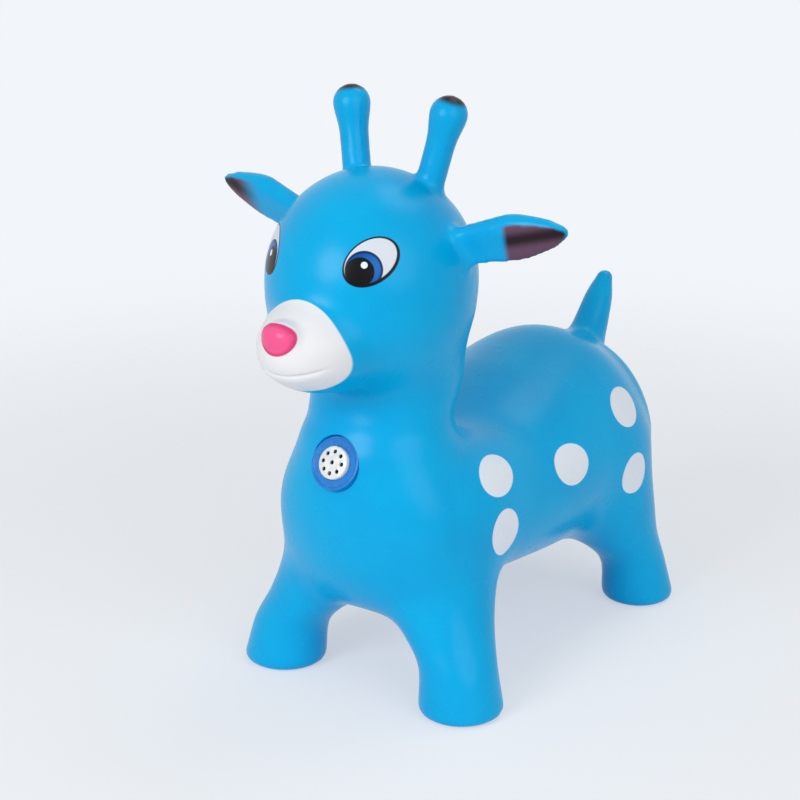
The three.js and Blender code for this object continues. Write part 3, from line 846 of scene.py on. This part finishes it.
class Finish:
    def __init__(self, name, **sockets):
        self.material = bpy.data.materials.new(name)
        self.material.use_nodes = True
        self.nodes = self.material.node_tree.nodes
        self.links = self.material.node_tree.links
        self.shader = self.nodes["Principled BSDF"]
        self.place = self.add("ShaderNodeTexCoord").outputs["Object"]
        for socket, value in sockets.items():
            self.set(self.shader, socket.replace("_", " "), value)

    def set(self, node, socket, value):
        target = node.inputs[socket]
        if isinstance(value, bpy.types.NodeSocket):
            self.links.new(value, target)
        else:
            target.default_value = value

    def add(self, kind, sockets=(), **settings):
        node = self.nodes.new(kind)
        for key, value in settings.items():
            setattr(node, key, value)
        for socket, value in dict(sockets).items():
            self.set(node, socket, value)
        return node

    def sum(self, operation, a, b=0.0):
        return self.add("ShaderNodeMath", {0: a, 1: b}, operation=operation).outputs[0]

    def noise(self, scale, detail=2.0, vector=None):
        sockets = {"Vector": vector or self.place, "Scale": scale, "Detail": detail}
        return self.add("ShaderNodeTexNoise", sockets).outputs["Fac"]

    def ramp(self, value, low, high, start=0.0, end=1.0, smooth=True):
        sockets = {"Value": value, "From Min": low, "From Max": high, "To Min": start, "To Max": end}
        kind = "SMOOTHSTEP" if smooth else "LINEAR"
        return self.add("ShaderNodeMapRange", sockets, interpolation_type=kind).outputs["Result"]

    def mix(self, share, a, b):
        node = self.add("ShaderNodeMix", data_type="RGBA")
        self.set(node, "Factor", share)
        node.inputs[6].default_value = (0, 0, 0, 1)
        for index, value in ((6, a), (7, b)):
            if isinstance(value, bpy.types.NodeSocket):
                self.links.new(value, node.inputs[index])
            else:
                node.inputs[index].default_value = value
        return node.outputs[2]

    def bump(self, height, distance, strength=1.0):
        sockets = {"Height": height, "Distance": distance, "Strength": strength}
        self.set(self.shader, "Normal", self.add("ShaderNodeBump", sockets).outputs["Normal"])

    # place in a patch's own axes, in shares of its halves
    def local(self, vector, spot, turn, halves):
        sockets = {"Vector": vector, "Location": spot, "Rotation": turn.to_euler(), "Scale": halves}
        return self.add("ShaderNodeMapping", sockets, vector_type="TEXTURE").outputs["Vector"]

    # distance from a patch's middle, 1 at its edge; egg makes it wider towards its top
    def patch(self, vector, spot, turn, halves, egg=0.0):
        inside = self.local(vector, spot, turn, halves)
        if egg:
            parts = self.add("ShaderNodeSeparateXYZ", {"Vector": inside}).outputs
            wider = self.sum("MULTIPLY_ADD", parts["Y"], -egg)
            wider.node.inputs[2].default_value = 1
            across = self.sum("MULTIPLY", parts["X"], wider)
            shaped = {"X": across, "Y": parts["Y"], "Z": parts["Z"]}
            inside = self.add("ShaderNodeCombineXYZ", shaped).outputs[0]
        return self.add("ShaderNodeVectorMath", {0: inside}, operation="LENGTH").outputs["Value"]

    def within(self, away, edge=1.0, soft=0.02):
        return self.ramp(away, edge - soft, edge + soft, 1.0, 0.0)


# axes of a patch of paint: across to the animal's left, up, and out of the skin
def paintAxes(out, lean=0.0):
    side = Vector((0, 0, 1)).cross(out).normalized()
    turn = Matrix((side, out.cross(side), out)).transposed()
    return turn @ Matrix.Rotation(math.radians(lean), 3, "Z")


spots = [  # behind the chest line, height, long half, short half, lean
    (60, 211, 25, 19.5, 12),
    (173.9, 190.1, 25.5, 20.0, -3.6),
    (284.9, 216.6, 23.7, 20.4, 16.0),
    (278.4, 151.9, 20.9, 19.5, 64.8),
    (56, 158.9, 22.5, 20.8, 104.1),
]
spotReach = {"start": 400, "depth": 50}
eye = {
    "left": (35.9, 22.8),
    "right": (40, 20),
    "halves": (26.9, 18.9),
    "lean": 33.5,
    "white": (-0.5, 0.6, 24.6, 16.8),
    "iris": (-6.4, -6.8, 16.2),
    "pupil": (-10.0, -8.5, 12.4),
    "glint": (-6.1, -2.9, 2.9),
    "irisInner": (0.88, 0.05),
    "light": (0.45, 0.1, 0.9),
    "lightEdge": (0.7, 0.45),
    "start": 250,
    "depth": 60,
}
muzzlePaint = {"middle": (0, -105.4, 357.4), "halves": (48, 38.8, 75), "egg": -0.22}
nosePaint = {
    "middle": (0, -136, 369.5),
    "halves": (19.5, 13.8, 22),
    "egg": 0.15,
    "rim": (0.68, 0.99),
    "roughness": 0.16,
}
earPaint = {
    "left": (0.41, 0.48),
    "right": (0.45, 0.76),
    "depth": (-3.4, -1.2),
    "middle": (1, 11),
    "above": 3,
    "lowest": 380,
}
hornPaint = {"radius": 14.5, "edge": (0.92, 0.26)}
satin = {"cloud": 14, "mottle": 30, "roughness": (0.24, 0.3), "grain": 900, "bump": (0.00012, 0.25)}
vinyl = {
    "blue": (0, 174, 230),
    "deep": (0, 167, 225),
    "white": (233, 240, 249),
    "muzzle": (234, 235, 238),
    "nose": (245, 92, 148),
    "noseRim": (216, 58, 116),
    "outline": (5, 5, 8),
    "eyeWhite": (216, 223, 233),
    "iris": (0, 80, 164),
    "irisEdge": (6, 34, 80),
    "irisLight": (22, 108, 190),
    "tip": (38, 22, 32),
    "tipEdge": (104, 72, 94),
}


def skinTree(skin):
    tree = BVHTree.FromObject(skin, bpy.context.evaluated_depsgraph_get())

    def hit(start, way):
        spot, out = tree.ray_cast(start, way)[:2]
        return spot, out.normalized()

    return hit


def vinylPaint(skin):
    tone = {name: colour(*rgb) for name, rgb in vinyl.items()}
    f = Finish("paintedVinyl", IOR=1.4, Specular_IOR_Level=0.22)
    parts = f.add("ShaderNodeSeparateXYZ", {"Vector": f.place}).outputs
    mirrored = {"X": f.sum("ABSOLUTE", parts["X"]), "Y": parts["Y"], "Z": parts["Z"]}
    both = f.add("ShaderNodeCombineXYZ", mirrored).outputs[0]
    hit = skinTree(skin)

    cloud = f.noise(satin["cloud"], 3)
    base = f.mix(f.ramp(cloud, 0.3, 0.7), tone["blue"], tone["deep"])
    painted = 0.0
    for behind, height, long, short, lean in spots:
        start = Vector((spotReach["start"], chestLine + behind, height)) * mm
        spot, out = hit(start, Vector((-1, 0, 0)))
        halves = Vector((long, short, spotReach["depth"])) * mm
        away = f.patch(both, spot, paintAxes(out, lean), halves)
        painted = f.sum("MAXIMUM", f.within(away), painted)
    base = f.mix(painted, base, tone["white"])

    front = paintAxes(Vector((0, -1, 0)))
    spot = Vector((0, chestLine + muzzlePaint["middle"][1], muzzlePaint["middle"][2])) * mm
    away = f.patch(f.place, spot, front, Vector(muzzlePaint["halves"]) * mm, muzzlePaint["egg"])
    white = f.within(away, soft=0.012)
    base = f.mix(white, base, tone["muzzle"])

    spot = Vector((0, chestLine + nosePaint["middle"][1], nosePaint["middle"][2])) * mm
    away = f.patch(f.place, spot, front, Vector(nosePaint["halves"]) * mm, nosePaint["egg"])
    rim = f.ramp(away, *nosePaint["rim"])
    onNose = f.within(away, soft=0.03)
    base = f.mix(onNose, base, f.mix(rim, tone["nose"], tone["noseRim"]))

    turned = {"X": f.sum("MULTIPLY", parts["X"], -1.0), "Y": parts["Y"], "Z": parts["Z"]}
    base = eyePaint(f, f.place, base, hit, tone, *eye["left"])
    turned = f.add("ShaderNodeCombineXYZ", turned).outputs[0]
    base = eyePaint(f, turned, base, hit, tone, *eye["right"])

    way = Vector(earFrame(1)[1])
    spot, out = (Vector(v) for v in earFront(1))
    inside = f.local(both, spot, paintAxes(out), (ear["length"] * mm, mm, mm))
    along, _, depth = f.add("ShaderNodeSeparateXYZ", {"Vector": inside}).outputs
    axes = Matrix((way, out.cross(way), out)).transposed()
    middle = spot + axes @ Vector((0, earPaint["above"], 0)) * mm
    across = f.local(both, middle, axes, (mm, mm, mm))
    across = f.add("ShaderNodeSeparateXYZ", {"Vector": across}).outputs["Y"]
    paler = f.ramp(f.sum("ABSOLUTE", across), *earPaint["middle"])
    left = f.sum("GREATER_THAN", parts["X"], 0.0)
    dark = f.add("ShaderNodeMix", {"Factor": left}, data_type="FLOAT")
    f.set(dark, 2, f.ramp(along, *earPaint["right"]))
    f.set(dark, 3, f.ramp(along, *earPaint["left"]))
    dark = f.sum("MULTIPLY", dark.outputs[0], f.ramp(depth, *earPaint["depth"]))
    dark = f.sum("MULTIPLY", dark, f.sum("GREATER_THAN", parts["Z"], earPaint["lowest"] * mm))
    base = f.mix(dark, base, f.mix(paler, tone["tip"], tone["tipEdge"]))

    knob, pole = hornTip(1)
    away = f.patch(both, knob, paintAxes(pole), [hornPaint["radius"] * mm] * 3)
    base = f.mix(f.within(away, *hornPaint["edge"]), base, tone["tip"])

    f.set(f.shader, "Base Color", base)
    sheen = f.ramp(f.noise(satin["mottle"]), 0.2, 0.8, *satin["roughness"], smooth=False)
    sheen = f.ramp(onNose, 0.0, 1.0, sheen, nosePaint["roughness"], smooth=False)
    f.set(f.shader, "Roughness", sheen)
    f.bump(f.noise(satin["grain"], 2), *satin["bump"])
    return f.material


# way out at a turn from the animal's front towards its left, and a rise
def outWay(turn, rise):
    turn, rise = math.radians(turn), math.radians(rise)
    level = math.cos(rise)
    return Vector((math.sin(turn) * level, -math.cos(turn) * level, math.sin(rise)))


def eyePaint(f, place, base, hit, tone, turn, rise):
    way = outWay(turn, rise)
    middle = Vector((0, chestLine + head["middle"][0], head["middle"][1])) * mm
    spot, out = hit(middle + way * eye["start"] * mm, -way)
    axes = paintAxes(out)
    leaning = paintAxes(out, eye["lean"])

    def oval(across, up, long, short, turned):
        halves = Vector((long, short, eye["depth"])) * mm
        return f.patch(place, spot + axes @ Vector((across, up, 0)) * mm, turned, halves)

    def disc(across, up, radius):
        return oval(across, up, radius, radius, axes)

    edge = f.within(oval(0, 0, *eye["halves"], leaning))
    inner = oval(*eye["white"], leaning)
    iris = disc(*eye["iris"])
    ball = f.mix(f.within(iris, soft=0.03), tone["eyeWhite"], tone["irisEdge"])
    across, up, radius = eye["iris"]
    aside, higher, size = eye["light"]
    lit = disc(across + radius * aside, up + radius * higher, radius * size)
    lit = f.mix(f.within(lit, *eye["lightEdge"]), tone["iris"], tone["irisLight"])
    ball = f.mix(f.within(iris, *eye["irisInner"]), ball, lit)
    ball = f.mix(f.within(disc(*eye["pupil"]), soft=0.04), ball, tone["outline"])
    ball = f.mix(f.within(disc(*eye["glint"]), soft=0.1), ball, tone["white"])
    ball = f.mix(f.within(inner), tone["outline"], ball)
    return f.mix(edge, base, ball)


def mouldedPlastic(name, rgb, roughness, grain=0.00008, darker=0.94, uneven=0.06):
    f = Finish(name, Specular_IOR_Level=0.5)
    shade = colour(*(c * darker for c in rgb))
    mottle = f.ramp(f.noise(180, 3), 0.35, 0.65)
    f.set(f.shader, "Base Color", f.mix(mottle, colour(*rgb), shade))
    sheen = f.ramp(f.noise(420, 3), 0.3, 0.7, roughness - uneven, roughness + uneven)
    f.set(f.shader, "Roughness", sheen)
    f.bump(f.noise(2600, 2), grain, 0.3)
    return f.material


def platedMetal(name, rgb, roughness, darker=0.86):
    f = Finish(name, Metallic=1.0)
    drawn = f.add("ShaderNodeMapping", {"Vector": f.place, "Scale": (900, 900, 90)})
    streak = f.noise(1.0, 3, drawn.outputs["Vector"])
    shade = colour(*(c * darker for c in rgb))
    f.set(f.shader, "Base Color", f.mix(streak, shade, colour(*rgb)))
    f.set(f.shader, "Roughness", f.ramp(streak, 0.25, 0.75, roughness - 0.08, roughness + 0.1))
    f.bump(streak, 0.00004, 0.3)
    return f.material


# green solder mask with paler copper tracks under it
def maskedLaminate(name):
    f = Finish(name, Specular_IOR_Level=0.45)
    waves = {"Vector": f.place, "Scale": 95, "Distortion": 6, "Detail": 0}
    wander = f.add("ShaderNodeTexWave", waves)
    track = f.ramp(wander.outputs["Fac"], 0.62, 0.68)
    f.set(f.shader, "Base Color", f.mix(track, colour(14, 92, 48), colour(34, 128, 66)))
    f.set(f.shader, "Roughness", f.ramp(f.noise(700, 2), 0.3, 0.7, 0.28, 0.4))
    f.bump(track, 0.00003, 0.5)
    return f.material


otherFinishes = {
    "case_plastic": mouldedPlastic("caseMoulding", (226, 226, 222), 0.5),
    "board_laminate": maskedLaminate("boardMask"),
    "chip_resin": mouldedPlastic("chipResin", (24, 24, 26), 0.3, 0.0002),
    "switch_plastic": mouldedPlastic("switchMoulding", (36, 36, 38), 0.45),
    "plunger_plastic": mouldedPlastic("plungerMoulding", (178, 50, 42), 0.4),
    "spring_steel": platedMetal("springWire", (202, 204, 208), 0.25),
    "speaker_steel": platedMetal("speakerPressing", (188, 190, 194), 0.34),
    "cone_film": mouldedPlastic("coneFilm", (38, 38, 42), 0.4, 0.00015),
    "magnet_steel": platedMetal("magnetPlating", (124, 124, 128), 0.3),
    "wire_red": mouldedPlastic("redLead", (188, 34, 34), 0.42),
    "wire_black": mouldedPlastic("blackLead", (36, 36, 36), 0.42),
    "cell_steel": platedMetal("cellCan", (206, 208, 210), 0.22),
    "screw_steel": platedMetal("zincScrew", (178, 180, 184), 0.36),
    "contact_brass": platedMetal("contactStrip", (204, 184, 124), 0.3),
}


def dressNodes():
    for part in frame["record"]["subparts"]:
        finish = otherFinishes.get(part["material_slot"])
        if finish:
            frame["nodes"][part["node"]].material_slots[0].material = finish


ringFinish = mouldedPlastic("ringMoulding", (0, 124, 208), 0.24)
capFinish = mouldedPlastic("capMoulding", (240, 240, 238), 0.28)
stopperFinish = mouldedPlastic("stopperMoulding", (238, 238, 234), 0.42)

moduleRing = bezelPiece()
moduleRing.data.materials.append(ringFinish)
pressButton = buttonPiece(capFinish)
airStopper = plugPiece()
airStopper.data.materials.append(stopperFinish)
vinylSkin.data.materials.clear()
vinylSkin.data.materials.append(vinylPaint(vinylSkin))
dressNodes()
print("module and plug made, finishes on")

studio = {
    "floorRadius": 4,
    "floorSides": 64,
    "floorBelow": 0.0004,
    "fade": (0.5, 1.5),
    "floor": (242, 245, 249),
    "lift": 0.55,
    "sky": 0.4,
    "lampTarget": (0, 0, 0.28),
}
lamps = [  # name, turn from the animal's front towards its left, rise, distance, size, watts
    ("keyLamp", -6, 24, 2.2, 1.1, 20.5),
    ("fillLamp", 66, 26, 2.4, 2, 16.5),
    ("topLamp", 165, 66, 2.2, 1.2, 8),
]
view = {
    "turn": 35.39,
    "rise": 18.18,
    "distance": 1.938,
    "target": (0, -0.0976, 0.268),
    "lens": 94.5,
    "sensor": 36,
}


def around(turn, rise, distance, target):
    return Vector(target) + outWay(turn, rise) * distance


def aimed(name, data, spot, target):
    obj = bpy.data.objects.new(name, data)
    obj.location = spot
    obj.rotation_euler = (Vector(target) - spot).to_track_quat("-Z", "Y").to_euler()
    scene.collection.objects.link(obj)
    return obj


# 1 for what the camera sees, also in a reflection or through something clear
def seenDirectly(nodes, links):
    path = nodes.new("ShaderNodeLightPath")
    rays = path.outputs["Is Camera Ray"]
    for kind in ("Is Glossy Ray", "Is Transmission Ray"):
        either = nodes.new("ShaderNodeMath")
        either.operation = "MAXIMUM"
        links.new(rays, either.inputs[0])
        links.new(path.outputs[kind], either.inputs[1])
        rays = either.outputs[0]
    return rays


# pale floor that fades into the pale surroundings
def floorPiece():
    sides, radius, below = (studio[key] for key in ("floorSides", "floorRadius", "floorBelow"))
    turns = np.linspace(0, math.tau, sides, endpoint=False)
    ring = [(radius * math.cos(a), radius * math.sin(a), -below) for a in turns]
    obj = newObject("studioFloor", ring, [range(sides)])
    f = Finish("studioFloorPaint", Roughness=0.8, Specular_IOR_Level=0.1)
    f.set(f.shader, "Base Color", colour(*studio["floor"]))
    away = f.add("ShaderNodeVectorMath", {0: f.place}, operation="LENGTH").outputs["Value"]
    glow = f.add("ShaderNodeEmission", {"Color": colour(*studio["floor"])}).outputs[0]
    seen = f.sum("MULTIPLY", seenDirectly(f.nodes, f.links), studio["lift"])
    lifted = f.add("ShaderNodeMixShader", {0: seen, 1: f.shader.outputs[0], 2: glow}).outputs[0]
    clear = f.add("ShaderNodeBsdfTransparent").outputs[0]
    share = f.ramp(away, *studio["fade"])
    mixed = f.add("ShaderNodeMixShader", {0: share, 1: lifted, 2: clear}).outputs[0]
    f.links.new(mixed, f.nodes["Material Output"].inputs["Surface"])
    obj.data.materials.append(f.material)


def surroundings():
    world = bpy.data.worlds.new("studio")
    world.use_nodes = True
    scene.world = world
    nodes, links = world.node_tree.nodes, world.node_tree.links
    shade = nodes["Background"]
    shade.inputs["Color"].default_value = (1, 1, 1, 1)
    shade.inputs["Strength"].default_value = studio["sky"]
    seen = nodes.new("ShaderNodeBackground")
    seen.inputs["Color"].default_value = colour(*studio["floor"])
    mixed = nodes.new("ShaderNodeMixShader")
    links.new(seenDirectly(nodes, links), mixed.inputs[0])
    links.new(shade.outputs[0], mixed.inputs[1])
    links.new(seen.outputs[0], mixed.inputs[2])
    links.new(mixed.outputs[0], nodes["World Output"].inputs["Surface"])


def studioLight():
    middle = studio["lampTarget"]
    for name, turn, rise, distance, size, watts in lamps:
        data = bpy.data.lights.new(name, "AREA")
        data.shape = "DISK"
        data.size = size
        data.energy = watts
        aimed(name, data, around(turn, rise, distance, middle), middle)


def viewCamera():
    data = bpy.data.cameras.new("photoView")
    data.lens = view["lens"]
    data.sensor_width = view["sensor"]
    spot = around(view["turn"], view["rise"], view["distance"], view["target"])
    scene.camera = aimed("photoView", data, spot, view["target"])


floorPiece()
surroundings()
studioLight()
viewCamera()
scene.view_settings.view_transform = "Standard"
print("floor, light and camera set")

for piece, body, slot, node in (
    (vinylSkin, "toy", "skin_vinyl", "skin"),
    (moduleRing, "toy", "bezel_plastic", "sound_bezel"),
    (pressButton, "button", "button_plastic", "sound_button"),
    (airStopper, "plug", "plug_plastic", "air_plug"),
):
    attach(piece, body)
    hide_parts(node)
